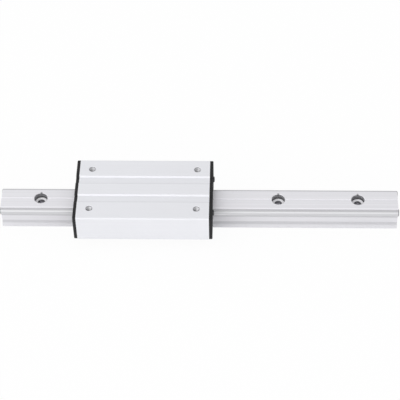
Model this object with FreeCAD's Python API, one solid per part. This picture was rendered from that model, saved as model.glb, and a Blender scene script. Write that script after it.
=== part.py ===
"""Linear guide: an aluminium rail with two steel rods, and a four-roller slider that runs on them.

Millimetres. X runs along the rail, Y across it and Z up. The origin is at the middle of the
rail's underside. Front is -Y, left is -X.
"""

import FreeCAD
import Part

import math
import os

Vector = FreeCAD.Vector

# Rail extrusion
rail_length = 300.0
rail_height = 20.0
lip_reach = 1.0
lip_edge_radius = 1.2
flank_inset = 0.8
foot_reach = 1.8
foot_edge_height = 2.2
foot_root_height = 4.0
foot_edge_radius = 0.4
foot_root_radius = 0.8
centre_line_width = 1.0
centre_line_depth = 0.5

# Counterbored holes along the rail
rail_hole_pitch = 60.0
rail_hole_end_margin = 15.0
rail_hole_diameter = 5.5
counterbore_diameter = 10.0
counterbore_depth = 4.6
counterbore_chamfer = 0.3

# Guide rods, held in grooves along the rail's sides
rod_diameter = 6.0
rod_spacing = 18.0
rod_cover = 1.1
rod_stand_out = 0.5
rod_end_chamfer = 0.4
rod_seat_clearance = 0.02

# Slider extrusion
slider_length = 99.0
slider_rest_x = -41.4
slider_height = 23.3
slider_plate_thickness = 10.1
skirt_thickness = 2.0
skirt_roller_gap = 1.9
slider_edge_radius = 1.8
slider_inner_radius = 1.0
top_channel_width = 7.6
top_channel_depth = 1.3
top_channel_wall_run = 0.9
top_channel_spacing = 18.8
top_channel_radius = 0.3

# Tapped holes for the load at their thread's outside size, set in from the slider's ends and sides
tapped_hole_diameter = 5.0
tapped_hole_end_inset = 9.5
tapped_hole_side_inset = 10.0
tapped_hole_chamfer = 0.3

# Black end plates
end_plate_thickness = 2.5
end_plate_foot_radius = 0.8
end_plate_rail_clearance = 0.5

# Grooved rollers and the shoulder bolts that they turn on
roller_rod_distance = 9.6
roller_groove_angle = 90.0
roller_width = 9.0
roller_end_inset = 19.5
roller_rod_gap = 0.1
roller_root_gap = 0.1
roller_lip_gap = 1.1
roller_side_gap = 0.6
roller_bore_clearance = 0.05
bolt_shoulder_diameter = 6.0
bolt_core_diameter = 4.1
bolt_thread_length = 6.5
bolt_tip_room = 0.5
bolt_fit_clearance = 0.05
bolt_head_diameter = 7.6
bolt_head_height = 2.7

# Rod, rail and roller places that follow from the sizes above
rod_radius = rod_diameter / 2
rod_y = rod_spacing / 2
rod_z = rail_height - rod_cover - rod_radius
head_half = rod_y + lip_reach
flank_half = head_half - flank_inset
base_half = flank_half + foot_reach
roller_y = rod_y + roller_rod_distance
roller_radius = roller_y - head_half - roller_lip_gap
roller_x = slider_length / 2 - roller_end_inset

# Slider places that follow
slider_half = roller_y + roller_radius + skirt_roller_gap + skirt_thickness
plate_underside = rod_z + roller_width / 2 + roller_side_gap
slider_top = plate_underside + slider_plate_thickness
slider_bottom = slider_top - slider_height
bolt_seat = rod_z - roller_width / 2 - roller_side_gap

SIDES = {"front": -1, "rear": 1}
ENDS = {"left": -1, "right": 1}


def section(corners):
    """Face in the YZ plane at X = 0 through corners (y, z, radius), each rounded by its radius."""
    edges = []
    joints = []
    for index, (y, z, radius) in enumerate(corners):
        corner = Vector(0, y, z)
        if radius == 0:
            joints.append((corner, None, corner))
            continue
        before = Vector(0, *corners[index - 1][:2]) - corner
        after = Vector(0, *corners[(index + 1) % len(corners)][:2]) - corner
        before.normalize()
        after.normalize()
        half_angle = before.getAngle(after) / 2
        inward = before + after
        inward.normalize()
        setback = radius / math.tan(half_angle)
        sagitta = radius / math.sin(half_angle) - radius
        joints.append((corner + before * setback, corner + inward * sagitta, corner + after * setback))
    for index, (start, middle, end) in enumerate(joints):
        if middle is not None:
            edges.append(Part.Arc(start, middle, end).toShape())
        following = joints[(index + 1) % len(joints)][0]
        edges.append(Part.LineSegment(end, following).toShape())
    return Part.Face(Part.Wire(edges))


def mirrored_section(right_side, middle=()):
    """Face in the YZ plane whose left side mirrors its right side, with any corners between them."""
    left_side = [(-y, z, radius) for y, z, radius in reversed(right_side)]
    return section([*right_side, *middle, *left_side])


def along_x(face, start, length):
    """Solid made by drawing a YZ face along X from start."""
    solid = face.extrude(Vector(length, 0, 0))
    solid.translate(Vector(start, 0, 0))
    return solid


def cylinder_z(radius, bottom, top, x=0.0, y=0.0):
    """Upright cylinder between two heights."""
    return Part.makeCylinder(radius, top - bottom, Vector(x, y, bottom))


def cylinder_x(radius, start, length, y, z):
    """Lying cylinder that starts at an X and runs along +X or, for a negative length, along -X."""
    direction = Vector(math.copysign(1, length), 0, 0)
    return Part.makeCylinder(radius, abs(length), Vector(start, y, z), direction)


def countersink(radius, chamfer, mouth_z, x, y):
    """Cone that breaks the rim of an upright hole at its mouth."""
    base = Vector(x, y, mouth_z - chamfer)
    return Part.makeCone(radius, radius + chamfer, chamfer, base)


def turned(profile):
    """Solid turned about the Z axis from (radius, height) corners."""
    corners = [Vector(radius, 0, height) for radius, height in profile]
    face = Part.Face(Part.makePolygon(corners + corners[:1]))
    return face.revolve(Vector(0, 0, 0), Vector(0, 0, 1), 360)


def roller_place(end, side):
    """X and Y of a roller's upright axis."""
    return slider_rest_x + end * roller_x, side * roller_y


def rail_hole_places():
    """X of each counterbored hole, spread evenly about the rail's middle."""
    steps = int((rail_length - 2 * rail_hole_end_margin) / rail_hole_pitch)
    return [(index - steps / 2) * rail_hole_pitch for index in range(steps + 1)]


def make_rail():
    """Extruded rail with rod grooves, a scribed centre line and counterbored holes."""
    half_line = centre_line_width / 2
    right_side = [
        (base_half, 0, 0),
        (base_half, foot_edge_height, foot_edge_radius),
        (flank_half, foot_root_height, foot_root_radius),
        (flank_half, rod_z, 0),
        (head_half, rod_z, 0),
        (head_half, rail_height, lip_edge_radius),
        (half_line, rail_height, 0),
    ]
    bottom_of_line = [(0, rail_height - centre_line_depth, 0)]
    rail = along_x(mirrored_section(right_side, bottom_of_line), -rail_length / 2, rail_length)
    groove_radius = rod_radius + rod_seat_clearance
    for side in SIDES.values():
        rail = rail.cut(cylinder_x(groove_radius, -rail_length / 2, rail_length, side * rod_y, rod_z))
    bore_floor = rail_height - counterbore_depth
    for x in rail_hole_places():
        rail = rail.cut(cylinder_z(rail_hole_diameter / 2, 0, bore_floor, x))
        rail = rail.cut(cylinder_z(counterbore_diameter / 2, bore_floor, rail_height, x))
        rail = rail.cut(countersink(counterbore_diameter / 2, counterbore_chamfer, rail_height, x, 0))
    return rail


def make_rod(side):
    """Round guide rod with chamfered ends, a little longer than the rail."""
    length = rail_length + 2 * rod_stand_out
    rod = cylinder_x(rod_radius, -length / 2, length, side * rod_y, rod_z)
    rims = [edge for edge in rod.Edges if isinstance(edge.Curve, Part.Circle)]
    return rod.makeChamfer(rod_end_chamfer, rims)


def top_profile(recess_radius=0):
    """Right half of the slider's top, from its edge inwards, with one shallow, slope-sided recess."""
    recess_floor = slider_top - top_channel_depth
    recess_outer = (top_channel_spacing + top_channel_width) / 2
    recess_inner = (top_channel_spacing - top_channel_width) / 2
    return [
        (slider_half, slider_top, slider_edge_radius),
        (recess_outer, slider_top, recess_radius),
        (recess_outer - top_channel_wall_run, recess_floor, recess_radius),
        (recess_inner + top_channel_wall_run, recess_floor, recess_radius),
        (recess_inner, slider_top, recess_radius),
    ]


def slider_section():
    """Slider's section: an upturned channel with a recess along each half of its top."""
    inner_half = slider_half - skirt_thickness
    skirt = [
        (inner_half, plate_underside, slider_inner_radius),
        (inner_half, slider_bottom, 0),
        (slider_half, slider_bottom, 0),
    ]
    return mirrored_section(skirt + top_profile(top_channel_radius))


def make_slider_body():
    """Slider extrusion with its tapped load holes and roller bolt holes."""
    start = slider_rest_x - slider_length / 2
    body = along_x(slider_section(), start, slider_length)
    tapped_x = slider_length / 2 - tapped_hole_end_inset
    tapped_y = slider_half - tapped_hole_side_inset
    tapped_radius = tapped_hole_diameter / 2
    bolt_hole_radius = bolt_core_diameter / 2 + bolt_fit_clearance
    bolt_hole_top = plate_underside + bolt_thread_length + bolt_tip_room
    for end in ENDS.values():
        for side in SIDES.values():
            hole_x = slider_rest_x + end * tapped_x
            hole_y = side * tapped_y
            body = body.cut(cylinder_z(tapped_radius, plate_underside, slider_top, hole_x, hole_y))
            body = body.cut(countersink(tapped_radius, tapped_hole_chamfer, slider_top, hole_x, hole_y))
            bolt_x, bolt_y = roller_place(end, side)
            body = body.cut(cylinder_z(bolt_hole_radius, plate_underside, bolt_hole_top, bolt_x, bolt_y))
    return body


def rail_clearance_shape(start, length):
    """Space that the rail's head, flanks and rods pass through, with the end plates' clearance."""
    gap = end_plate_rail_clearance
    below = slider_bottom - gap
    head = Part.makeBox(
        length, 2 * (head_half + gap), rail_height + gap - rod_z, Vector(start, -head_half - gap, rod_z)
    )
    flanks = Part.makeBox(
        length, 2 * (flank_half + gap), rod_z - below, Vector(start, -flank_half - gap, below)
    )
    rods = [
        cylinder_x(rod_radius + gap, start, length, side * rod_y, rod_z) for side in SIDES.values()
    ]
    return head.fuse([flanks] + rods)


def make_end_plate(end):
    """Moulded end plate, level with the slider's top and cut out round the rail."""
    foot = (slider_half, slider_bottom, end_plate_foot_radius)
    outline = mirrored_section([foot] + top_profile())
    inner_face = slider_rest_x + end * slider_length / 2
    start = min(inner_face, inner_face + end * end_plate_thickness)
    plate = along_x(outline, start, end_plate_thickness)
    return plate.cut(rail_clearance_shape(start, end_plate_thickness))


def make_roller(end, side):
    """Roller with a V groove whose two flanks run on the rod."""
    half = roller_width / 2
    bore = bolt_shoulder_diameter / 2 + roller_bore_clearance
    root = roller_rod_distance - rod_radius - roller_root_gap
    flank_angle = math.radians(roller_groove_angle / 2)
    apex = roller_rod_distance - (rod_radius + roller_rod_gap) / math.sin(flank_angle)
    root_half = (root - apex) * math.tan(flank_angle)
    mouth_half = (roller_radius - apex) * math.tan(flank_angle)
    profile = [
        (bore, -half),
        (roller_radius, -half),
        (roller_radius, -mouth_half),
        (root, -root_half),
        (root, root_half),
        (roller_radius, mouth_half),
        (roller_radius, half),
        (bore, half),
    ]
    roller = turned(profile)
    roller.translate(Vector(*roller_place(end, side), rod_z))
    return roller


def make_bolt(end, side):
    """Shoulder bolt that a roller turns on, with its thread at core size."""
    x, y = roller_place(end, side)
    thread_top = plate_underside + bolt_thread_length
    head = cylinder_z(bolt_head_diameter / 2, bolt_seat - bolt_head_height, bolt_seat, x, y)
    shoulder = cylinder_z(bolt_shoulder_diameter / 2, bolt_seat, plate_underside, x, y)
    thread = cylinder_z(bolt_core_diameter / 2, plate_underside, thread_top, x, y)
    return head.fuse([shoulder, thread])


def make_pieces():
    """Every piece by its node name."""
    pieces = {"rail": make_rail(), "slider_body": make_slider_body()}
    for side_name, side in SIDES.items():
        pieces[f"rod_{side_name}"] = make_rod(side)
    for end_name, end in ENDS.items():
        pieces[f"end_plate_{end_name}"] = make_end_plate(end)
        for side_name, side in SIDES.items():
            place = f"{side_name}_{end_name}"
            pieces[f"roller_{place}"] = make_roller(end, side)
            pieces[f"roller_bolt_{place}"] = make_bolt(end, side)
    return pieces


os.makedirs("parts", exist_ok=True)
for name, shape in make_pieces().items():
    shape.exportStep(os.path.join("parts", f"{name}.step"))
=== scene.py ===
"""Dresses the linear guide: finishes, fine pieces, a white studio and the photograph's camera.

Sizes are millimetres, turned into the frame's metres where meshes and materials are made. X runs
along the rail, Y across it to the rear and Z up, with the origin under the rail's middle.
"""

import logging
import math
from abc import ABC, abstractmethod
from collections.abc import Sequence
from dataclasses import dataclass
from enum import Enum
from typing import ClassVar

import bmesh
import bpy
from bmesh.types import BMesh, BMEdge, BMVert
from bpy.types import Material, Node, NodeSocket, NodeTree, Object, World
from mathutils import Matrix, Vector


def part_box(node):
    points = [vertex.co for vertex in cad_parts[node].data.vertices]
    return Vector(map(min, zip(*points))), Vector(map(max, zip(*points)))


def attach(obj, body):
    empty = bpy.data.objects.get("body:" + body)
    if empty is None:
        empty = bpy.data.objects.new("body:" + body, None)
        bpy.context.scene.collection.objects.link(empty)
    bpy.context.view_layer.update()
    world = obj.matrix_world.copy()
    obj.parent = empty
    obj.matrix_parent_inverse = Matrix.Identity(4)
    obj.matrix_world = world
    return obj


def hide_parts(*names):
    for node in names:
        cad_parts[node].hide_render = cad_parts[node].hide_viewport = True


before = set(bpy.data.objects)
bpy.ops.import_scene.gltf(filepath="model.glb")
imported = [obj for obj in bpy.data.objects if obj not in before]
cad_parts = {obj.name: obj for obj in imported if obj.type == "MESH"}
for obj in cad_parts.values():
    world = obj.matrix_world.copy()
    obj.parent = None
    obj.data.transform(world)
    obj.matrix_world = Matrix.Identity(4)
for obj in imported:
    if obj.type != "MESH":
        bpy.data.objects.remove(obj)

LOG = logging.getLogger("linear_guide")
MM = 0.001
WHITE = (1.0, 1.0, 1.0, 1.0)
NOISE_MIDDLE = 0.5
# Edges that bend by more than this stay sharp.
SHARP_ANGLE = math.radians(32)
# Corners nearer to each other than this are merged.
MERGE_DISTANCE = 1e-4
# Points nearer to each other than this count as being in one place.
TOLERANCE = 1e-3
# Past every piece: half the pitch of holes in a single row, or the place of ends that don't show.
FAR = 1000.0

Colour = tuple[float, float, float]
Feed = NodeSocket | float | tuple[float, ...]
Stops = tuple[tuple[float, float], ...]
Sockets = dict[str, NodeSocket]


class Place(Enum):
    """Place on the object, with its sign along an axis."""

    @property
    def word(self) -> str:
        """Word for the place in the names of pieces."""
        return self.name.lower()


class Side(Place):
    """Side of the rail, with its sign along Y."""

    FRONT = -1
    REAR = 1


class End(Place):
    """End of the slider, with its sign along X."""

    LEFT = -1
    RIGHT = 1


class Body(Enum):
    """Moving body of the frame that a new piece rides on."""

    RAIL = "rail"
    SLIDER = "slider"


class Slot(Enum):
    """Material slot of the record."""

    RAIL = "rail_aluminium"
    SLIDER = "slider_aluminium"
    ROD = "rod_steel"
    PLASTIC = "black_plastic"
    ROLLER = "roller_steel"
    BLACK_STEEL = "black_steel"


class Rounding(Enum):
    """What a rounding takes off, in the bevel operator's words."""

    EDGES = "EDGES"
    CORNERS = "VERTICES"


class Axis(Enum):
    """Direction along which fine tool lines follow each other, as a scale per axis."""

    X = (1.0, 0.02, 0.02)
    Z = (0.02, 0.02, 1.0)


class ShaderTree:
    """Adds and links the nodes of one material, world or node group."""

    # A Mix node has sockets for each kind of data, and these are the ones for colours.
    MIX_FACTOR: ClassVar[int] = 0
    MIX_FIRST: ClassVar[int] = 6
    MIX_SECOND: ClassVar[int] = 7
    MIX_RESULT: ClassVar[int] = 2

    def __init__(self, tree: NodeTree) -> None:
        """Takes the node tree to fill."""
        self.tree = tree

    @classmethod
    def emptied(cls, owner: Material | World) -> "ShaderTree":
        """Returns the node tree of a material or world, emptied."""
        owner.use_nodes = True
        owner.node_tree.nodes.clear()
        return cls(owner.node_tree)

    def feed(self, socket: NodeSocket, value: Feed) -> None:
        """Links an output to a socket, or sets the socket's own value.

        Args:
            socket: Input to feed.
            value: Output of another node, or a constant.
        """
        if isinstance(value, NodeSocket):
            self.tree.links.new(value, socket)
        else:
            socket.default_value = value

    def fill(self, node: Node, inputs: dict[str | int, Feed]) -> None:
        """Feeds several sockets of a node, by name or index."""
        for name, value in inputs.items():
            self.feed(node.inputs[name], value)

    def add(self, kind: str, inputs: dict[str | int, Feed] | None = None, **settings: object) -> Node:
        """Adds a node.

        Args:
            kind: Blender's name for the node type.
            inputs: Values or outputs for its sockets, by name or index.
            **settings: Properties of the node.

        Returns:
            The new node.
        """
        node = self.tree.nodes.new(kind)
        for name, value in settings.items():
            setattr(node, name, value)
        self.fill(node, inputs or {})
        return node

    def math(self, operation: str, first: Feed, second: Feed = 0.0) -> NodeSocket:
        """Adds a sum of one or two values and returns its result."""
        return self.add("ShaderNodeMath", {0: first, 1: second}, operation=operation).outputs[0]

    def remap(self, value: Feed, source: tuple[float, float], target: tuple[float, float]) -> NodeSocket:
        """Maps a value smoothly from one range to another and returns the result."""
        inputs = {"Value": value, "From Min": source[0], "From Max": source[1]}
        inputs |= {"To Min": target[0], "To Max": target[1]}
        return self.add("ShaderNodeMapRange", inputs, interpolation_type="SMOOTHSTEP").outputs[0]

    def swing(self, noise: NodeSocket, middle: float, spread: Feed) -> NodeSocket:
        """Returns a value that swings with noise about a middle, over a whole spread."""
        offset = self.math("MULTIPLY", self.math("SUBTRACT", noise, NOISE_MIDDLE), spread)
        return self.math("ADD", offset, middle)

    def tint(self, colour: Feed, strength: NodeSocket) -> NodeSocket:
        """Multiplies a colour by a value that changes over the surface.

        Args:
            colour: Colour as three numbers or an output.
            strength: Value to multiply it by.

        Returns:
            The tinted colour.
        """
        colour = colour if isinstance(colour, NodeSocket) else (*colour, 1.0)
        inputs = {self.MIX_FACTOR: 1.0, self.MIX_FIRST: colour, self.MIX_SECOND: strength}
        mix = self.add("ShaderNodeMix", inputs, data_type="RGBA", blend_type="MULTIPLY")
        return mix.outputs[self.MIX_RESULT]

    def ramp(self, value: NodeSocket, stops: Sequence[tuple[float, Colour]]) -> NodeSocket:
        """Looks a value up in a row of colours.

        Args:
            value: Value from 0 to 1.
            stops: Places in the row and their colours.

        Returns:
            The colour found.
        """
        node = self.add("ShaderNodeValToRGB", {0: value})
        elements = node.color_ramp.elements
        while len(elements) < len(stops):
            elements.new(1.0)
        for element, (position, colour) in zip(elements, stops):
            element.position = position
            element.color = (*colour, 1.0)
        return node.outputs[0]

    def noise(self, place: NodeSocket, scale: Feed, detail: float = 2.0) -> NodeSocket:
        """Adds smooth noise at a place and returns its value from 0 to 1."""
        inputs = {"Vector": place, "Scale": scale, "Detail": detail}
        return self.add("ShaderNodeTexNoise", inputs).outputs[0]

    def place(self) -> NodeSocket:
        """Returns the place on the piece, in its own metres."""
        return self.add("ShaderNodeTexCoord").outputs["Object"]

    def stretched(self, scale: Feed) -> NodeSocket:
        """Returns the place on the piece, scaled along each axis."""
        return self.add("ShaderNodeMapping", {"Vector": self.place(), "Scale": scale}).outputs[0]

    def axes(self) -> tuple[NodeSocket, NodeSocket, NodeSocket]:
        """Returns the three coordinates of the place on the piece."""
        split = self.add("ShaderNodeSeparateXYZ", {0: self.place()})
        return tuple(split.outputs)


class SharedEffect(ABC):
    """Shader node group that several finishes place with their own values."""

    title: ClassVar[str]
    inputs: ClassVar[dict[str, float]]
    outputs: ClassVar[tuple[str, ...]]

    @classmethod
    def group(cls) -> NodeTree:
        """Builds the node group on its first use.

        Returns:
            The group, with its named sockets.
        """
        known = bpy.data.node_groups.get(cls.title)
        if known:
            return known
        group = bpy.data.node_groups.new(cls.title, "ShaderNodeTree")
        for name, value in cls.inputs.items():
            socket = group.interface.new_socket(name, in_out="INPUT", socket_type="NodeSocketFloat")
            socket.default_value = value
        for name in cls.outputs:
            group.interface.new_socket(name, in_out="OUTPUT", socket_type="NodeSocketFloat")
        tree = ShaderTree(group)
        source = tree.add("NodeGroupInput")
        results = cls.wire(tree, {name: source.outputs[name] for name in cls.inputs})
        tree.add("NodeGroupOutput", dict(zip(cls.outputs, results)))
        return group

    @classmethod
    def apply(cls, tree: ShaderTree, **values: float) -> tuple[NodeSocket, ...]:
        """Places the effect in a material.

        Args:
            tree: The material's nodes.
            **values: Input values, with an underscore for each space of a socket's name.

        Returns:
            The effect's outputs, in order.
        """
        inputs = {name.replace("_", " "): value for name, value in values.items()}
        return tuple(tree.add("ShaderNodeGroup", inputs, node_tree=cls.group()).outputs)

    @classmethod
    @abstractmethod
    def wire(cls, tree: ShaderTree, given: Sockets) -> Sequence[NodeSocket]:
        """Adds the group's own nodes.

        Args:
            tree: The group's nodes.
            given: The group's inputs by name.

        Returns:
            The values for the group's outputs, in order.
        """


class LengthwiseLines(SharedEffect):
    """Die lines that run along an extrusion, as a value about 1 and a height."""

    title = "lengthwise lines"
    inputs = {"density": 900.0, "contrast": 0.04}
    outputs = ("Tone", "Height")
    stretch: ClassVar[tuple[float, float, float]] = (0.004, 1.0, 1.0)
    detail: ClassVar[float] = 3.0

    @classmethod
    def wire(cls, tree: ShaderTree, given: Sockets) -> Sequence[NodeSocket]:
        """Stretches noise along X and returns the tone and the height."""
        height = tree.noise(tree.stretched(cls.stretch), given["density"], cls.detail)
        return tree.swing(height, 1.0, given["contrast"]), height


class SoftBlotches(SharedEffect):
    """Faint cloudy patches, as a value about 1."""

    title = "soft blotches"
    inputs = {"density": 40.0, "contrast": 0.04}
    outputs = ("Tone",)

    @classmethod
    def wire(cls, tree: ShaderTree, given: Sockets) -> Sequence[NodeSocket]:
        """Swings low noise about 1 and returns the tone."""
        cloud = tree.noise(tree.place(), given["density"])
        return (tree.swing(cloud, 1.0, given["contrast"]),)


class FineGrain(SharedEffect):
    """Even fine grain, as a height and as a value about 1."""

    title = "fine grain"
    inputs = {"density": 4000.0, "contrast": 0.1}
    outputs = ("Height", "Tone")
    detail: ClassVar[float] = 1.0

    @classmethod
    def wire(cls, tree: ShaderTree, given: Sockets) -> Sequence[NodeSocket]:
        """Takes two octaves of dense noise and returns the height and the tone."""
        height = tree.noise(tree.place(), given["density"], cls.detail)
        return height, tree.swing(height, 1.0, given["contrast"])


class HoleDistance(SharedEffect):
    """Distance from the nearest axis of an even grid of upright holes, in metres."""

    title = "hole distance"
    inputs = {"start x": 0.0, "start y": 0.0, "half pitch x": 0.03, "half pitch y": 1.0, "lowest": 0.0}
    outputs = ("Distance",)

    @classmethod
    def wire(cls, tree: ShaderTree, given: Sockets) -> Sequence[NodeSocket]:
        """Folds X and Y at the holes, and pushes what lies below the lowest height away.

        Args:
            tree: The group's nodes.
            given: A hole's place, half the pitches and the lowest height.

        Returns:
            The distance.
        """
        x, y, z = tree.axes()
        across = []
        for value, letter in ((x, "x"), (y, "y")):
            offset = tree.math("SUBTRACT", value, given[f"start {letter}"])
            fold = tree.math("PINGPONG", offset, given[f"half pitch {letter}"])
            across.append(tree.math("MULTIPLY", fold, fold))
        distance = tree.math("SQRT", tree.math("ADD", *across))
        below = tree.math("LESS_THAN", z, given["lowest"])
        return (tree.math("ADD", distance, below),)


class TopPlace(SharedEffect):
    """Place across an extrusion's top, from front to rear above a height, in metres."""

    title = "top place"
    inputs = {"lowest": 0.0}
    outputs = ("Place",)

    @classmethod
    def wire(cls, tree: ShaderTree, given: Sockets) -> Sequence[NodeSocket]:
        """Returns Y, and pushes what lies below the lowest height away."""
        _, y, z = tree.axes()
        return (tree.math("ADD", y, tree.math("LESS_THAN", z, given["lowest"])),)


class SideHeight(SharedEffect):
    """Height up an extrusion's sides, past a distance from its middle, in metres."""

    title = "side height"
    inputs = {"innermost": 0.0}
    outputs = ("Height",)

    @classmethod
    def wire(cls, tree: ShaderTree, given: Sockets) -> Sequence[NodeSocket]:
        """Returns Z, and pushes what lies nearer the middle away."""
        _, y, z = tree.axes()
        inside = tree.math("LESS_THAN", tree.math("ABSOLUTE", y), given["innermost"])
        return (tree.math("ADD", z, inside),)


@dataclass(frozen=True)
class Tones:
    """Row of tones at places in millimetres, which lighten or darken a surface."""

    stops: Stops

    def at(self, tree: ShaderTree, place: NodeSocket) -> NodeSocket:
        """Looks up the tone at a place.

        Args:
            tree: The material's nodes.
            place: Place along the row in metres.

        Returns:
            The tone.
        """
        start, end = self.stops[0][0], self.stops[-1][0]
        offset = tree.math("SUBTRACT", place, start * MM)
        length = end - start
        share = tree.math("DIVIDE", offset, length * MM)
        return tree.ramp(share, [((stop - start) / length, (tone,) * 3) for stop, tone in self.stops])


def shifted(stops: Stops, offset: float) -> Stops:
    """Returns tones moved along their row by an offset."""
    return tuple((place + offset, tone) for place, tone in stops)


@dataclass(frozen=True)
class SectionTones:
    """Painted shade and highlights across an extrusion's top from front to rear, and up its sides.

    The top's hold above the lowest height, and the sides' past the innermost distance from the middle.
    """

    lowest: float
    across: Tones
    innermost: float
    upwards: Tones

    def side_height(self, tree: ShaderTree) -> NodeSocket:
        """Returns the height up the sides."""
        (height,) = SideHeight.apply(tree, innermost=self.innermost * MM)
        return height

    def tone(self, tree: ShaderTree) -> NodeSocket:
        """Returns the tone of the painted shade and highlights along lines and edges."""
        (place,) = TopPlace.apply(tree, lowest=self.lowest * MM)
        upwards = self.upwards.at(tree, self.side_height(tree))
        return tree.math("MULTIPLY", self.across.at(tree, place), upwards)

    def sides(self, tree: ShaderTree) -> NodeSocket:
        """Returns a mask of the sides below the top."""
        return tree.math("LESS_THAN", self.side_height(tree), self.lowest * MM)


@dataclass(frozen=True)
class HoleRings:
    """Tones round an even grid of holes, from each axis outwards, which hold above the lowest height:
    painted shade and highlights, and darker spots.

    One hole's axis is at the start, in X and Y, and the cutter may have left the seats slightly dished.
    """

    start: tuple[float, float]
    half_pitch: tuple[float, float]
    lowest: float
    rings: Tones
    dish_slope: float = 0.0
    dish_radius: float = 0.0

    def distance(self, tree: ShaderTree) -> NodeSocket:
        """Returns the distance from the nearest hole's axis."""
        (distance,) = HoleDistance.apply(
            tree,
            start_x=self.start[0] * MM,
            start_y=self.start[1] * MM,
            half_pitch_x=self.half_pitch[0] * MM,
            half_pitch_y=self.half_pitch[1] * MM,
            lowest=self.lowest * MM,
        )
        return distance

    def tone(self, tree: ShaderTree) -> NodeSocket:
        """Returns the tone of the holes' painted shade and highlights, and of darker spots."""
        return self.rings.at(tree, self.distance(tree))

    def dish(self, tree: ShaderTree) -> NodeSocket:
        """Returns the normal of the dished seats."""
        reach = tree.math("MINIMUM", self.distance(tree), self.dish_radius * MM)
        rise = tree.math("MULTIPLY", reach, self.dish_slope)
        return tree.add("ShaderNodeBump", {"Height": rise, "Distance": 1.0}).outputs[0]


@dataclass(frozen=True)
class Finish(ABC):
    """Surface of one kind of piece, which makes its own material."""

    name: str
    slot: Slot
    colour: Colour
    roughness: float

    def material(self) -> Material:
        """Builds the finish's material on its first use.

        Returns:
            The material, shared by every piece with this finish.
        """
        known = bpy.data.materials.get(self.name)
        if known:
            return known
        material = bpy.data.materials.new(self.name)
        tree = ShaderTree.emptied(material)
        shader = tree.add("ShaderNodeBsdfPrincipled", {"Roughness": self.roughness})
        tree.add("ShaderNodeOutputMaterial", {"Surface": shader.outputs[0]})
        self.dress(tree, shader)
        return material

    @abstractmethod
    def dress(self, tree: ShaderTree, shader: Node) -> None:
        """Feeds the shader.

        Args:
            tree: The material's nodes.
            shader: Its Principled shader.
        """

    def put_on(self, piece: Object) -> None:
        """Gives a piece this finish."""
        piece.data.materials.clear()
        piece.data.materials.append(self.material())


@dataclass(frozen=True)
class ExtrudedAluminium(Finish):
    """Satin anodised aluminium with die lines along X, machined holes and sawn ends.

    Densities are noise scales, contrasts are swings in tone, and gloss_spread is one in roughness. The
    sawn ends lie at end_x from the middle, and count as sawn to a small depth. metal_share is the bare
    metal's part in the anodised surface, which matte sides don't have.
    """

    line_density: float
    line_contrast: float
    line_depth: float
    blotch_contrast: float
    section: SectionTones
    holes: HoleRings
    end_x: float
    hole_highlights_and_spots: tuple[HoleRings, ...] = ()
    matte_sides: bool = False
    metal_share: float = 0.5
    gloss_spread: float = 0.06
    sawn_roughness: float = 0.1
    sawn_depth: float = 0.02
    bump_strength: float = 0.5

    def dress(self, tree: ShaderTree, shader: Node) -> None:
        """Tints the metal by its lines and blotches, and by painted shade and highlights across its section
        and round its holes.

        Args:
            tree: The material's nodes.
            shader: Its Principled shader.
        """
        tone, height = LengthwiseLines.apply(tree, density=self.line_density, contrast=self.line_contrast)
        (blotch,) = SoftBlotches.apply(tree, contrast=self.blotch_contrast)
        colour = tree.tint(self.colour, tree.math("MULTIPLY", tone, blotch))
        sawn = self.sawn_mask(tree)
        # Painted shade and highlights across the section, left off the sawn ends.
        colour = tree.tint(colour, tree.math("MAXIMUM", self.section.tone(tree), sawn))
        # Painted shade and highlights round the holes, and darker spots at their rims.
        for rings in (self.holes, *self.hole_highlights_and_spots):
            colour = tree.tint(colour, rings.tone(tree))
        metal: Feed = self.metal_share
        if self.matte_sides:
            matte = tree.math("SUBTRACT", self.section.sides(tree), sawn)
            metal = tree.remap(matte, (0.0, 1.0), (self.metal_share, 0.0))
        rough = tree.swing(height, self.roughness, self.gloss_spread)
        rough = tree.math("ADD", rough, tree.math("MULTIPLY", sawn, self.sawn_roughness))
        relief = {"Height": height, "Distance": self.line_depth * MM, "Strength": self.bump_strength}
        if self.holes.dish_slope:
            relief["Normal"] = self.holes.dish(tree)
        bump = tree.add("ShaderNodeBump", relief)
        tree.fill(
            shader,
            {"Base Color": colour, "Metallic": metal, "Roughness": rough, "Normal": bump.outputs[0]},
        )

    def sawn_mask(self, tree: ShaderTree) -> NodeSocket:
        """Returns a mask of the cut faces at both ends."""
        x, _, _ = tree.axes()
        return tree.math("GREATER_THAN", tree.math("ABSOLUTE", x), (self.end_x - self.sawn_depth) * MM)


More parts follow.
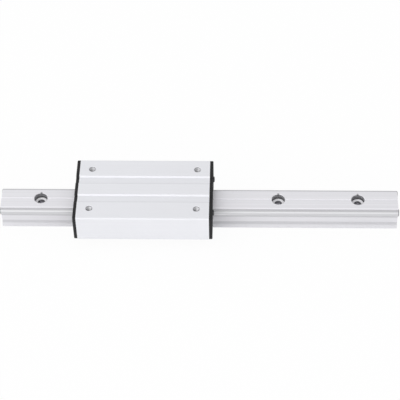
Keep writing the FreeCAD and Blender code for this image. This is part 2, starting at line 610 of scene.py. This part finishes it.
@dataclass(frozen=True)
class TooledSteel(Finish):
    """Bright steel with the fine lines of grinding or turning, and painted shade on its ends where it is a
    bar.

    A bar has painted shade on its ends, past end_x from its middle. The lines draw highlights out by the
    share in spread, in a direction that spread_turn gives as a part of a full turn.
    """

    axis: Axis
    line_density: float = 6000.0
    line_contrast: float = 0.06
    end_x: float | None = None
    end_tone: float = 0.45
    blotch_density: float = 60.0
    blotch_contrast: float = 0.03
    gloss_spread: float = 0.1
    spread: float = 0.0
    spread_turn: float = 0.25

    def dress(self, tree: ShaderTree, shader: Node) -> None:
        """Tints the metal by its tool lines, a little cloud and painted shade on a bar's ends.

        Args:
            tree: The material's nodes.
            shader: Its Principled shader.
        """
        lines = tree.noise(tree.stretched(self.axis.value), self.line_density)
        (blotch,) = SoftBlotches.apply(tree, density=self.blotch_density, contrast=self.blotch_contrast)
        tone = tree.math("MULTIPLY", tree.swing(lines, 1.0, self.line_contrast), blotch)
        # Painted shade on a bar's ends.
        if self.end_x is not None:
            x, _, _ = tree.axes()
            past = tree.math("GREATER_THAN", tree.math("ABSOLUTE", x), self.end_x * MM)
            tone = tree.math("MULTIPLY", tone, tree.remap(past, (0.0, 1.0), (1.0, self.end_tone)))
        rough = tree.swing(lines, self.roughness, self.gloss_spread)
        tree.fill(shader, {"Base Color": tree.tint(self.colour, tone), "Metallic": 1.0, "Roughness": rough})
        if self.spread:
            around = tree.add("ShaderNodeTangent", direction_type="RADIAL", axis=self.axis.name)
            tree.feed(shader.inputs["Tangent"], around.outputs[0])
            tree.fill(shader, {"Anisotropic": self.spread, "Anisotropic Rotation": self.spread_turn})


@dataclass(frozen=True)
class MouldedPlastic(Finish):
    """Black plastic with a fine moulded grain, which varies its colour and gloss a little."""

    mirror_level: float = 0.5
    grain_density: float = 2500.0
    grain_contrast: float = 0.3
    grain_depth: float = 0.02
    grain_strength: float = 0.6
    blotch_density: float = 90.0
    blotch_contrast: float = 0.3

    def dress(self, tree: ShaderTree, shader: Node) -> None:
        """Grains the surface and varies its gloss a little.

        Args:
            tree: The material's nodes.
            shader: Its Principled shader.
        """
        height, tone = FineGrain.apply(tree, density=self.grain_density, contrast=self.grain_contrast)
        (blotch,) = SoftBlotches.apply(tree, density=self.blotch_density, contrast=self.blotch_contrast)
        colour = tree.tint(self.colour, tree.math("MULTIPLY", tone, blotch))
        rough = tree.math("MULTIPLY", blotch, self.roughness)
        relief = {"Height": height, "Distance": self.grain_depth * MM, "Strength": self.grain_strength}
        bump = tree.add("ShaderNodeBump", relief)
        tree.fill(shader, {"Base Color": colour, "Roughness": rough, "Normal": bump.outputs[0]})
        tree.feed(shader.inputs["Specular IOR Level"], self.mirror_level)


@dataclass(frozen=True)
class BlackOxide(Finish):
    """Black-oxide steel with a faint grain."""

    grain_density: float = 3000.0
    grain_contrast: float = 0.25

    def dress(self, tree: ShaderTree, shader: Node) -> None:
        """Grains the dark metal and varies its gloss.

        Args:
            tree: The material's nodes.
            shader: Its Principled shader.
        """
        _, tone = FineGrain.apply(tree, density=self.grain_density, contrast=self.grain_contrast)
        rough = tree.math("MULTIPLY", tone, self.roughness)
        tree.fill(shader, {"Base Color": tree.tint(self.colour, tone), "Metallic": 1.0, "Roughness": rough})


RAIL_HOLE = (0.0, 0.0)
RAIL_HALF_PITCH = (30.0, FAR)
# By the distance from a hole's axis: painted shade in its through bore, a painted highlight on its seat,
# then painted shade on its wall and a painted highlight on its rim.
RAIL_HOLE_SEAT_SHADE_AND_HIGHLIGHT = ((2.7, 0.15), (2.85, 1.2), (4.7, 1.2))
RAIL_HOLE_WALL_SHADE_AND_RIM_HIGHLIGHT = ((4.8, 0.25), (5.02, 0.25), (5.1, 1.1), (5.4, 1.0))
# Painted highlight on the upper part of each counterbore's wall.
RAIL_WALL_PAINTED_HIGHLIGHT = HoleRings(
    start=RAIL_HOLE,
    half_pitch=RAIL_HALF_PITCH,
    lowest=17.3,
    rings=Tones(((4.9, 1.9), (5.02, 1.9), (5.08, 1.0))),
)
# A darker spot at the middle of each hole's rear rim.
RAIL_REAR_RIM_SPOTS = HoleRings(
    start=(0.0, 5.3),
    half_pitch=RAIL_HALF_PITCH,
    lowest=19.0,
    rings=Tones(((0.0, 0.4), (0.6, 0.4), (1.1, 1.0))),
)
# The rail's top by Y, and its sides by Z: painted shade and painted highlights.
# Painted shade on the front lip's rounding, with a painted highlight just inside it.
RAIL_FRONT_LIP_SHADE_AND_HIGHLIGHT = ((-10.2, 1.0), (-10.1, 0.66), (-9.6, 0.66), (-9.4, 1.18), (-9.0, 1.18), (-8.5, 1.0))
# A painted highlight along the middle, with painted shade on either side.
RAIL_MIDDLE_HIGHLIGHT = ((-1.0, 1.0), (-0.6, 0.97), (-0.45, 1.04), (0.45, 1.04), (0.6, 0.97), (1.0, 1.0))
# Painted shade on the rear lip's rounding.
RAIL_REAR_LIP_SHADE = ((8.1, 1.0), (8.4, 0.7), (10.1, 0.7), (10.2, 1.0))
# Painted shade over the sides, deepest in the groove at the foot.
RAIL_FOOT_SHADE = ((2.2, 0.92), (3.0, 0.88), (3.4, 0.76), (4.9, 0.76), (5.8, 0.9))
# Painted shade on the sides, deepest in a band just under the rod.
RAIL_SHADE_UNDER_ROD = ((10.3, 0.9), (10.8, 0.7), (12.6, 0.7), (13.0, 0.92), (16.0, 0.92), (17.0, 1.0))
RAIL_FINISH = ExtrudedAluminium(
    name="rail aluminium",
    slot=Slot.RAIL,
    colour=(0.828, 0.823, 0.858),
    roughness=0.45,
    line_density=700.0,
    line_contrast=0.22,
    line_depth=0.02,
    blotch_contrast=0.03,
    section=SectionTones(
        lowest=17.5,
        across=Tones(RAIL_FRONT_LIP_SHADE_AND_HIGHLIGHT + RAIL_MIDDLE_HIGHLIGHT + RAIL_REAR_LIP_SHADE),
        innermost=8.5,
        upwards=Tones(RAIL_FOOT_SHADE + RAIL_SHADE_UNDER_ROD),
    ),
    holes=HoleRings(
        start=RAIL_HOLE,
        half_pitch=RAIL_HALF_PITCH,
        lowest=13.0,
        rings=Tones(RAIL_HOLE_SEAT_SHADE_AND_HIGHLIGHT + RAIL_HOLE_WALL_SHADE_AND_RIM_HIGHLIGHT),
        dish_slope=0.5,
        dish_radius=4.95,
    ),
    end_x=150.0,
    hole_highlights_and_spots=(RAIL_REAR_RIM_SPOTS, RAIL_WALL_PAINTED_HIGHLIGHT),
    matte_sides=True,
)
CHANNEL_SPACING = 18.8
# One channel by Y from its middle: painted shade on its front wall, and a painted highlight and a painted
# shade line on its rear wall.
CHANNEL_FRONT_WALL_SHADE = ((-4.4, 1.0), (-4.1, 0.88), (-3.4, 0.88), (-3.1, 1.0))
CHANNEL_REAR_WALL_HIGHLIGHT_AND_SHADE = ((2.8, 1.0), (3.0, 1.04), (3.6, 1.04), (3.9, 0.94), (4.2, 1.0))
CHANNEL = CHANNEL_FRONT_WALL_SHADE + CHANNEL_REAR_WALL_HIGHLIGHT_AND_SHADE
# Slight painted shade on the rounding of the slider's front top edge.
SLIDER_FRONT_EDGE_SHADE = ((-29.95, 1.0), (-29.6, 0.98), (-28.8, 0.98), (-28.2, 1.0))
SLIDER_CHANNELS = shifted(CHANNEL, -CHANNEL_SPACING / 2) + shifted(CHANNEL, CHANNEL_SPACING / 2)
SLIDER_FINISH = ExtrudedAluminium(
    name="slider aluminium",
    slot=Slot.SLIDER,
    colour=(0.845, 0.85, 0.886),
    roughness=0.45,
    line_density=900.0,
    line_contrast=0.05,
    line_depth=0.01,
    blotch_contrast=0.04,
    section=SectionTones(
        lowest=27.0,
        across=Tones(SLIDER_FRONT_EDGE_SHADE + SLIDER_CHANNELS),
        innermost=29.0,
        # Slight painted shade along the bottom of the slider's sides.
        upwards=Tones(((7.8, 0.97), (9.0, 1.0))),
    ),
    holes=HoleRings(
        start=(-1.4, 20.0),
        half_pitch=(40.0, 20.0),
        lowest=21.2,
        # Painted shade inside the tapped holes, and a painted highlight on their rims.
        rings=Tones(((2.52, 0.3), (2.6, 1.1), (2.85, 1.1), (2.95, 1.0))),
    ),
    end_x=FAR,
)
THREAD_FINISH = TooledSteel(
    name="cut thread", slot=Slot.SLIDER, colour=(0.6, 0.6, 0.62), roughness=0.3, axis=Axis.Z
)
ROD_FINISH = TooledSteel(
    name="ground rod",
    slot=Slot.ROD,
    colour=(0.7, 0.7, 0.72),
    roughness=0.33,
    axis=Axis.X,
    end_x=149.9,
    spread=1.0,
)
ROLLER_FINISH = TooledSteel(
    name="ground roller", slot=Slot.ROLLER, colour=(0.6, 0.6, 0.61), roughness=0.22, axis=Axis.Z
)
PLATE_FINISH = MouldedPlastic(
    name="black end plate",
    slot=Slot.PLASTIC,
    colour=(0.012, 0.012, 0.013),
    roughness=0.55,
    mirror_level=0.3,
)
SEAL_FINISH = MouldedPlastic(
    name="bearing seal", slot=Slot.PLASTIC, colour=(0.018, 0.018, 0.018), roughness=0.62, grain_depth=0.01
)
BOLT_FINISH = BlackOxide(
    name="black oxide", slot=Slot.BLACK_STEEL, colour=(0.05, 0.05, 0.055), roughness=0.38
)


class Shape:
    """New mesh that is shaped in millimetres and then made a piece of the object."""

    def __init__(self) -> None:
        """Starts with an empty mesh."""
        self.mesh: BMesh = bmesh.new()

    def line(self, points: Sequence[Sequence[float]]) -> list[BMVert]:
        """Adds an open chain of edges.

        Args:
            points: Corners from end to end.

        Returns:
            The new corners.
        """
        corners = [self.mesh.verts.new(point) for point in points]
        for first, second in zip(corners, corners[1:]):
            self.mesh.edges.new((first, second))
        return corners

    def lathe(self, profile: Sequence[tuple[float, float]], segments: int) -> "Shape":
        """Turns a profile once round the Z axis.

        Args:
            profile: (radius, height) corners from end to end.
            segments: Steps in the full turn.

        Returns:
            The shape itself.
        """
        corners = self.line([(radius, 0.0, height) for radius, height in profile])
        bmesh.ops.spin(
            self.mesh,
            geom=corners + self.mesh.edges[:],
            cent=(0.0, 0.0, 0.0),
            axis=(0.0, 0.0, 1.0),
            angle=math.tau,
            steps=segments,
            use_merge=True,
        )
        return self.cleaned()

    def merged(self, distance: float = MERGE_DISTANCE) -> "Shape":
        """Merges doubled corners."""
        bmesh.ops.remove_doubles(self.mesh, verts=self.mesh.verts[:], dist=distance)
        return self

    def cleaned(self) -> "Shape":
        """Merges doubled corners and turns every face outwards."""
        bmesh.ops.recalc_face_normals(self.merged().mesh, faces=self.mesh.faces[:])
        return self

    def rounded(
        self, what: Rounding, places: Sequence[BMEdge | BMVert], width: float, steps: int
    ) -> "Shape":
        """Rounds edges or corners over.

        Args:
            what: Whether the places are edges or corners.
            places: Edges or corners to round.
            width: Width of the rounding on each side.
            steps: Steps in the rounding.

        Returns:
            The shape itself.
        """
        bmesh.ops.bevel(
            self.mesh,
            geom=list(places),
            offset=width,
            offset_type="OFFSET",
            affect=what.value,
            segments=steps,
            profile=0.5,
            material=-1,
        )
        return self

    def moved(self, matrix: Matrix) -> "Shape":
        """Turns and moves the whole shape."""
        bmesh.ops.transform(self.mesh, matrix=matrix, verts=self.mesh.verts[:])
        return self

    def joined(self, other: "Shape") -> "Shape":
        """Takes over the faces of another shape.

        Args:
            other: Shape that is used up.

        Returns:
            The shape itself.
        """
        data = bpy.data.meshes.new("joined")
        other.mesh.to_mesh(data)
        other.mesh.free()
        self.mesh.from_mesh(data)
        bpy.data.meshes.remove(data)
        return self

    def linked(self, name: str) -> Object:
        """Turns the shape into an object of the scene.

        Args:
            name: Name of the new object.

        Returns:
            The object, at the origin with its place in its mesh, in metres.
        """
        self.moved(Matrix.Scale(MM, 4))
        data = bpy.data.meshes.new(name)
        self.mesh.to_mesh(data)
        self.mesh.free()
        made = bpy.data.objects.new(name, data)
        bpy.context.scene.collection.objects.link(made)
        return made

    def piece(self, name: str, finish: Finish, body: str, replaces: Sequence[str] = ()) -> Object:
        """Makes the shape a finished piece.

        Args:
            name: Name of the new object.
            finish: Its finish.
            body: Name of the frame's body that it rides on.
            replaces: CAD nodes that it stands for.

        Returns:
            The new object.
        """
        made = self.linked(name)
        made.data.shade_smooth()
        made.data.set_sharp_from_angle(angle=SHARP_ANGLE)
        finish.put_on(made)
        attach(made, body)
        if replaces:
            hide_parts(*replaces)
        LOG.info("%s: %d faces on %s", name, len(made.data.polygons), body)
        return made

    def cut_from(self, piece: Object) -> None:
        """Cuts the shape out of a finished piece and drops the shape.

        Args:
            piece: Piece whose mesh takes the cut.
        """
        cutter = self.linked("cutter")
        cut = piece.modifiers.new("cut", "BOOLEAN")
        cut.operation = "DIFFERENCE"
        cut.solver = "EXACT"
        cut.use_self = True
        cut.object = cutter
        graph = bpy.context.evaluated_depsgraph_get()
        piece.data = bpy.data.meshes.new_from_object(piece.evaluated_get(graph))
        piece.modifiers.clear()
        bpy.data.objects.remove(cutter)


def dress_node(name: str, finish: Finish) -> None:
    """Gives a CAD node its finish."""
    finish.put_on(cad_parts[name])
    LOG.info("%s: CAD node in %s", name, finish.name)


def node_box(name: str) -> tuple[Vector, Vector]:
    """Returns a CAD node's lowest and highest corner in millimetres."""
    low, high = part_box(name)
    return low / MM, high / MM


def corner_word(side: Side, end: End) -> str:
    """Returns the words for a corner of the slider in the names of pieces."""
    return f"{side.word}_{end.word}"


def outwards(azimuth: float, elevation: float) -> Vector:
    """Returns the direction from the object to a camera or lamp at angles in degrees."""
    turn, rise = math.radians(azimuth), math.radians(elevation)
    return Vector((math.sin(turn) * math.cos(rise), -math.cos(turn) * math.cos(rise), math.sin(rise)))


@dataclass
class Rail:
    """Extruded rail and the two ground rods in its sides."""

    rod_chamfer: float = 0.4
    rod_segments: int = 96

    def build(self) -> None:
        """Dresses the rail and turns the rods."""
        dress_node("rail", RAIL_FINISH)
        for side in Side:
            self.build_rod(f"rod_{side.word}")

    def build_rod(self, node: str) -> None:
        """Turns one smooth rod.

        Args:
            node: CAD node that it stands for.
        """
        low, high = node_box(node)
        half, radius = (high.x - low.x) / 2, (high.z - low.z) / 2
        chamfer = self.rod_chamfer
        profile = [
            (0.0, -half),
            (radius - chamfer, -half),
            (radius, chamfer - half),
            (radius, half - chamfer),
            (radius - chamfer, half),
            (0.0, half),
        ]
        turn = Matrix.Translation((low + high) / 2) @ Matrix.Rotation(math.pi / 2, 4, "Y")
        shape = Shape().lathe(profile, self.rod_segments).moved(turn)
        shape.piece(f"ground_{node}", ROD_FINISH, Body.RAIL.value, [node])


@dataclass
class Slider:
    """Extruded slider body with threads in its four load holes."""

    hole_end_inset: float = 9.5
    hole_side_inset: float = 10.0
    thread_outer: float = 2.52
    thread_inner: float = 2.1
    thread_pitch: float = 0.8
    thread_flank: float = 0.36
    thread_top_drop: float = 0.5
    thread_segments: int = 24
    thread_turns: int = 10

    def build(self) -> None:
        """Dresses the body and cuts its threads."""
        dress_node("slider_body", SLIDER_FINISH)
        low, high = node_box("slider_body")
        for end in End:
            for side in Side:
                x = (low.x + high.x) / 2 + end.value * ((high.x - low.x) / 2 - self.hole_end_inset)
                y = side.value * (high.y - self.hole_side_inset)
                self.build_thread(f"load_thread_{corner_word(side, end)}", Vector((x, y, high.z)))

    def build_thread(self, name: str, mouth: Vector) -> None:
        """Winds a thread's ridge down one hole.

        Args:
            name: Name of the piece.
            mouth: Middle of the hole's mouth.
        """
        shape = Shape()
        start = -self.thread_top_drop - self.thread_turns * self.thread_pitch
        corners = [
            shape.mesh.verts.new((self.thread_outer, 0.0, start - self.thread_flank)),
            shape.mesh.verts.new((self.thread_inner, 0.0, start)),
            shape.mesh.verts.new((self.thread_outer, 0.0, start + self.thread_flank)),
        ]
        bmesh.ops.spin(
            shape.mesh,
            geom=[shape.mesh.faces.new(corners)],
            cent=(0.0, 0.0, 0.0),
            axis=(0.0, 0.0, 1.0),
            dvec=(0.0, 0.0, self.thread_pitch / self.thread_segments),
            angle=math.tau * self.thread_turns,
            steps=self.thread_segments * self.thread_turns,
        )
        shape.cleaned().moved(Matrix.Translation(mouth))
        shape.piece(name, THREAD_FINISH, Body.SLIDER.value)


@dataclass
class EndPlates:
    """Black moulded plates on the slider's ends, cut out round the rail, and their screws."""

    corner_radius: float = 1.8
    foot_radius: float = 0.8
    corner_steps: int = 6
    rim_radius: float = 0.6
    rim_steps: int = 3
    rim_margin: float = 0.1
    clearance: float = 0.5
    flank_reach: float = 0.2
    lip_reach: float = 1.0
    arc_steps: int = 20
    channel_spacing: float = CHANNEL_SPACING
    channel_width: float = 7.6
    channel_wall_run: float = 0.9
    channel_depth: float = 1.3
    screw_spacing: float = 34.0
    screw_drop: float = 7.6
    screw_radius: float = 2.3
    screw_rim: float = 0.3
    screw_height: float = 1.1
    screw_root: float = 0.3
    # The head's dome from its rim inwards, as shares of its radius and height.
    screw_dome: Stops = ((0.93, 0.72), (0.72, 0.92), (0.4, 1.0))
    screw_segments: int = 40
    left_screw_sink: float = 0.9
    recess_reach: float = 1.35
    recess_width: float = 0.55
    recess_depth: float = 0.7

    def build(self) -> None:
        """Makes both plates with their screws."""
        for end in End:
            self.build_plate(end)
            for side in Side:
                self.build_screw(end, side)

    def build_plate(self, end: End) -> None:
        """Makes one plate from half its outline.

        Args:
            end: End of the slider that it closes.
        """
        node = f"end_plate_{end.word}"
        low, high = node_box(node)
        shape = Shape()
        self.half_outline(shape, low, high)
        mirrored = bmesh.ops.duplicate(shape.mesh, geom=shape.mesh.verts[:] + shape.mesh.edges[:])["geom"]
        copies = [item for item in mirrored if isinstance(item, BMVert)]
        bmesh.ops.scale(shape.mesh, verts=copies, vec=(1.0, -1.0, 1.0))
        shape.merged()
        bmesh.ops.contextual_create(shape.mesh, geom=shape.mesh.edges[:])
        grown = bmesh.ops.extrude_face_region(shape.mesh, geom=shape.mesh.faces[:])["geom"]
        far = [item for item in grown if isinstance(item, BMVert)]
        bmesh.ops.translate(shape.mesh, verts=far, vec=(high.x - low.x, 0.0, 0.0))
        shape.cleaned()
        outer_x = high.x if end is End.RIGHT else low.x
        rim = [edge for edge in shape.mesh.edges if self.on_rim(edge, outer_x, high)]
        shape.rounded(Rounding.EDGES, rim, self.rim_radius, self.rim_steps)
        shape.piece(f"moulded_{node}", PLATE_FINISH, Body.SLIDER.value, [node])

    def half_outline(self, shape: Shape, low: Vector, high: Vector) -> None:
        """Draws the rear half of a plate's outline at its lowest X.

        Args:
            shape: Shape that takes the edges.
            low: Plate's lowest corner.
            high: Plate's highest corner.
        """
        _, rail_high = node_box("rail")
        rod_low, rod_high = node_box("rod_rear")
        rod = Vector((low.x, (rod_low.y + rod_high.y) / 2, (rod_low.z + rod_high.z) / 2))
        radius = (rod_high.z - rod_low.z) / 2 + self.clearance
        flank = rod.y + self.flank_reach + self.clearance
        head = rod.y + self.lip_reach + self.clearance
        start = Vector((low.x, flank, rod.z - math.sqrt(radius**2 - (flank - rod.y) ** 2)))
        stop = Vector((low.x, head, rod.z + math.sqrt(radius**2 - (head - rod.y) ** 2)))
        foot = shape.line([(low.x, high.y, low.z), (low.x, flank, low.z), start])
        bmesh.ops.spin(
            shape.mesh,
            geom=[foot[-1]],
            cent=rod,
            axis=(1.0, 0.0, 0.0),
            angle=(stop - rod).angle(start - rod),
            steps=self.arc_steps,
        )
        ceiling = rail_high.z + self.clearance
        shape.line([stop, (low.x, head, ceiling), (low.x, 0.0, ceiling)])
        inner, outer = ((self.channel_spacing + sign * self.channel_width) / 2 for sign in (-1, 1))
        floor = high.z - self.channel_depth
        top = [
            (0.0, high.z),
            (inner, high.z),
            (inner + self.channel_wall_run, floor),
            (outer - self.channel_wall_run, floor),
            (outer, high.z),
            (high.y, high.z),
            (high.y, low.z),
        ]
        shape.line([(low.x, y, z) for y, z in top])
        shape.merged(TOLERANCE)
        self.round_corner(shape, Vector((low.x, high.y, high.z)), self.corner_radius)
        self.round_corner(shape, Vector((low.x, high.y, low.z)), self.foot_radius)

    def round_corner(self, shape: Shape, place: Vector, radius: float) -> None:
        """Rounds the corner of the outline at a place."""
        corner = min(shape.mesh.verts, key=lambda vert: (vert.co - place).length)
        shape.rounded(Rounding.CORNERS, [corner], radius, self.corner_steps)

    def on_rim(self, edge: BMEdge, outer_x: float, high: Vector) -> bool:
        """Tells whether an edge lies on the outer face's outside rim.

        Args:
            edge: Edge of a plate.
            outer_x: Place of the plate's outer face.
            high: Plate's highest corner.

        Returns:
            True for an edge of the rim.
        """
        on_face = all(abs(corner.co.x - outer_x) < TOLERANCE for corner in edge.verts)
        middle = (edge.verts[0].co + edge.verts[1].co) / 2
        inset = self.corner_radius + self.rim_margin
        outside = abs(middle.y) > high.y - inset or middle.z > high.z - inset
        return on_face and outside

    def build_screw(self, end: End, side: Side) -> None:
        """Makes one pan-head screw with a cross recess, sunk nearly flush in the left plate.

        Args:
            end: End of the slider.
            side: Side of the rail.
        """
        low, high = node_box(f"end_plate_{end.word}")
        radius, top = self.screw_radius, self.screw_height
        profile = [
            (0.0, -self.screw_root),
            (radius, -self.screw_root),
            (radius, self.screw_rim),
            *((radius * across, top * up) for across, up in self.screw_dome),
            (0.0, top),
        ]
        face_x = high.x if end is End.RIGHT else low.x + self.left_screw_sink
        seat = Vector((face_x, side.value * self.screw_spacing / 2, high.z - self.screw_drop))
        place = Matrix.Translation(seat) @ Matrix.Rotation(end.value * math.pi / 2, 4, "Y")
        shape = Shape().lathe(profile, self.screw_segments).moved(place)
        made = shape.piece(f"end_screw_{corner_word(side, end)}", BOLT_FINISH, Body.SLIDER.value)
        self.cross_recess().moved(place @ Matrix.Translation((0.0, 0.0, top))).cut_from(made)

    def cross_recess(self) -> Shape:
        """Makes the cross that is cut out of a screw's head.

        Returns:
            A shape of two bars.
        """
        cross = Shape()
        size = (2 * self.recess_reach, self.recess_width, 2 * self.recess_depth)
        for angle in (0.0, math.pi / 2):
            bar = bmesh.ops.create_cube(cross.mesh, size=1.0)["verts"]
            bmesh.ops.scale(cross.mesh, verts=bar, vec=size)
            bmesh.ops.rotate(cross.mesh, verts=bar, matrix=Matrix.Rotation(angle, 3, "Z"))
        return cross


@dataclass
class Rollers:
    """Four grooved rollers under the slider, with bearing seals, on their shoulder bolts."""

    seal_inner: float = 4.3
    seal_outer: float = 6.5
    seal_rise: float = 0.15
    seal_edge_width: float = 0.3
    seal_edge_share: float = 0.4
    seal_segments: int = 48
    head_height: float = 2.7
    head_chamfer: float = 0.4
    shoulder_radius: float = 3.0
    thread_length: float = 6.5
    thread_radius: float = 2.05
    thread_chamfer: float = 0.5
    bolt_segments: int = 48
    socket_across: float = 4.0
    socket_depth: float = 1.9
    socket_sides: int = 6

    def build(self) -> None:
        """Dresses the rollers, adds their seals and turns their bolts."""
        for end in End:
            for side in Side:
                place = corner_word(side, end)
                dress_node(f"roller_{place}", ROLLER_FINISH)
                self.build_seals(f"roller_{place}")
                self.build_bolt(f"roller_bolt_{place}")

    def build_bolt(self, node: str) -> None:
        """Turns one shoulder bolt and cuts the hexagon socket into its head, which hangs below.

        Args:
            node: CAD node that it stands for.
        """
        low, high = node_box(node)
        seat = low.z + self.head_height
        shoulder_top = high.z - self.thread_length
        head = (high.x - low.x) / 2
        profile = [
            (0.0, low.z),
            (head - self.head_chamfer, low.z),
            (head, low.z + self.head_chamfer),
            (head, seat),
            (self.shoulder_radius, seat),
            (self.shoulder_radius, shoulder_top),
            (self.thread_radius, shoulder_top),
            (self.thread_radius, high.z - self.thread_chamfer),
            (self.thread_radius - self.thread_chamfer, high.z),
            (0.0, high.z),
        ]
        middle = (low + high) / 2
        place = Matrix.Translation((middle.x, middle.y, 0.0))
        bolt = Shape().lathe(profile, self.bolt_segments).moved(place)
        made = bolt.piece(f"socket_{node}", BOLT_FINISH, Body.SLIDER.value, [node])
        corner = self.socket_across / math.sqrt(3)
        socket = Shape()
        bmesh.ops.create_cone(
            socket.mesh,
            cap_ends=True,
            segments=self.socket_sides,
            radius1=corner,
            radius2=corner,
            depth=2 * self.socket_depth,
        )
        socket.moved(place @ Matrix.Translation((0.0, 0.0, low.z))).cut_from(made)

    def build_seals(self, node: str) -> None:
        """Adds a seal ring to each face of a roller.

        Args:
            node: The roller's CAD node.
        """
        low, high = node_box(node)
        middle = (low + high) / 2
        shape = Shape()
        for face, lift in ((low.z, -self.seal_rise), (high.z, self.seal_rise)):
            edge = lift * self.seal_edge_share
            profile = [
                (self.seal_inner, -lift),
                (self.seal_inner, edge),
                (self.seal_inner + self.seal_edge_width, lift),
                (self.seal_outer - self.seal_edge_width, lift),
                (self.seal_outer, edge),
                (self.seal_outer, -lift),
                (self.seal_inner, -lift),
            ]
            ring = Shape().lathe(profile, self.seal_segments)
            shape.joined(ring.moved(Matrix.Translation((middle.x, middle.y, face))))
        shape.piece(f"{node}_seals", SEAL_FINISH, node)


@dataclass
class SoftLight:
    """Rectangular soft light that is aimed at the object, in metres and degrees."""

    name: str
    azimuth: float
    elevation: float
    distance: float
    size: tuple[float, float]
    radiance: float

    def build(self) -> None:
        """Adds the light at its place."""
        data = bpy.data.lights.new(self.name, "AREA")
        data.shape = "RECTANGLE"
        data.size, data.size_y = self.size
        data.energy = self.radiance * math.pi * self.size[0] * self.size[1]
        light = bpy.data.objects.new(self.name, data)
        back = outwards(self.azimuth, self.elevation)
        light.location = back * self.distance
        light.rotation_euler = back.to_track_quat("Z", "Y").to_euler()
        bpy.context.scene.collection.objects.link(light)
        LOG.info("%s: soft light at %.2f m", self.name, self.distance)


FRONT_SOFTBOX = SoftLight(
    name="front softbox", azimuth=-16.0, elevation=25.0, distance=1.3, size=(2.4, 1.2), radiance=0.55
)


@dataclass
class Studio:
    """White floor and surroundings with soft lights.

    Where it is seen directly, the floor is plain white by the share in floor_glow. The surroundings are
    brighter by left_lift on the left and darker on the right, and lose brightness at the horizon.
    """

    floor_half: float = 4000.0
    floor_white: float = 0.95
    floor_glow: float = 0.95
    surround: float = 0.87
    left_lift: float = 0.2
    left_reach: float = 0.5
    horizon_share: float = 0.85
    horizon_height: float = 0.35
    lights: tuple[SoftLight, ...] = (FRONT_SOFTBOX,)

    def build(self) -> None:
        """Builds the floor, the surroundings and the lights."""
        self.build_floor()
        self.build_world()
        for light in self.lights:
            light.build()

    def seen_directly(self, tree: ShaderTree) -> NodeSocket:
        """Returns 1 for rays from the camera, in mirrors and through glass, and 0 for the rest."""
        path = tree.add("ShaderNodeLightPath")
        seen = tree.math("MAXIMUM", path.outputs["Is Camera Ray"], path.outputs["Is Glossy Ray"])
        return tree.math("MAXIMUM", seen, path.outputs["Is Transmission Ray"])

    def build_floor(self) -> None:
        """Adds the floor, which shows white and keeps a soft shadow."""
        shape = Shape()
        bmesh.ops.create_grid(shape.mesh, x_segments=1, y_segments=1, size=self.floor_half)
        floor = shape.linked("floor")
        material = bpy.data.materials.new("white floor")
        tree = ShaderTree.emptied(material)
        paint = tree.add("ShaderNodeBsdfDiffuse", {"Color": (*(self.floor_white,) * 3, 1.0)})
        glow = tree.add("ShaderNodeEmission", {"Color": WHITE, "Strength": 1.0})
        share = tree.math("MULTIPLY", self.seen_directly(tree), self.floor_glow)
        mixed = tree.add("ShaderNodeMixShader", {0: share, 1: paint.outputs[0], 2: glow.outputs[0]})
        tree.add("ShaderNodeOutputMaterial", {"Surface": mixed.outputs[0]})
        floor.data.materials.append(material)

    def build_world(self) -> None:
        """Surrounds the object with white that is brighter on the left and lower at the horizon."""
        world = bpy.data.worlds.new("white studio")
        tree = ShaderTree.emptied(world)
        direction = tree.add("ShaderNodeTexCoord").outputs["Generated"]
        x, _, z = tree.add("ShaderNodeSeparateXYZ", {0: direction}).outputs
        sides = (self.surround + self.left_lift, self.surround - self.left_lift)
        left = tree.remap(x, (-self.left_reach, self.left_reach), sides)
        rise = tree.remap(z, (0.0, self.horizon_height), (self.horizon_share, 1.0))
        strength = tree.math("MULTIPLY", left, rise)
        glow = tree.add("ShaderNodeBackground", {"Color": WHITE, "Strength": strength})
        tree.add("ShaderNodeOutputWorld", {"Surface": glow.outputs[0]})
        bpy.context.scene.world = world


@dataclass
class PhotoCamera:
    """Camera at the photograph's place, in degrees and millimetres.

    Its line of sight misses the origin: it is moved aside to the picture's right and raised to its top.
    """

    lens: float = 144.6
    azimuth: float = 2.3066
    elevation: float = 47.8593
    roll: float = -1.3846
    distance: float = 1230.8
    aside: float = 0.4272
    raised: float = 12.6

    def build(self) -> None:
        """Adds the camera and makes it the scene's own."""
        turn, roll = math.radians(self.azimuth), math.radians(self.roll)
        back = outwards(self.azimuth, self.elevation)
        level = Vector((math.cos(turn), math.sin(turn), 0.0))
        up = back.cross(level)
        right = level * math.cos(roll) + up * math.sin(roll)
        upright = up * math.cos(roll) - level * math.sin(roll)
        data = bpy.data.cameras.new("photo camera")
        data.lens = self.lens
        camera = bpy.data.objects.new("photo camera", data)
        place = (back * self.distance + right * self.aside + upright * self.raised) * MM
        turned = Matrix((right, upright, back)).transposed().to_4x4()
        camera.matrix_world = Matrix.Translation(place) @ turned
        bpy.context.scene.collection.objects.link(camera)
        bpy.context.scene.camera = camera


def main() -> None:
    """Builds and dresses every sub-assembly, then the studio and the camera."""
    logging.basicConfig(level=logging.INFO, format="%(message)s")
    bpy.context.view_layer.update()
    for assembly in (Rail(), Slider(), EndPlates(), Rollers(), Studio(), PhotoCamera()):
        assembly.build()
    bpy.context.scene.view_settings.view_transform = "Standard"


if __name__ == "__main__":
    main()
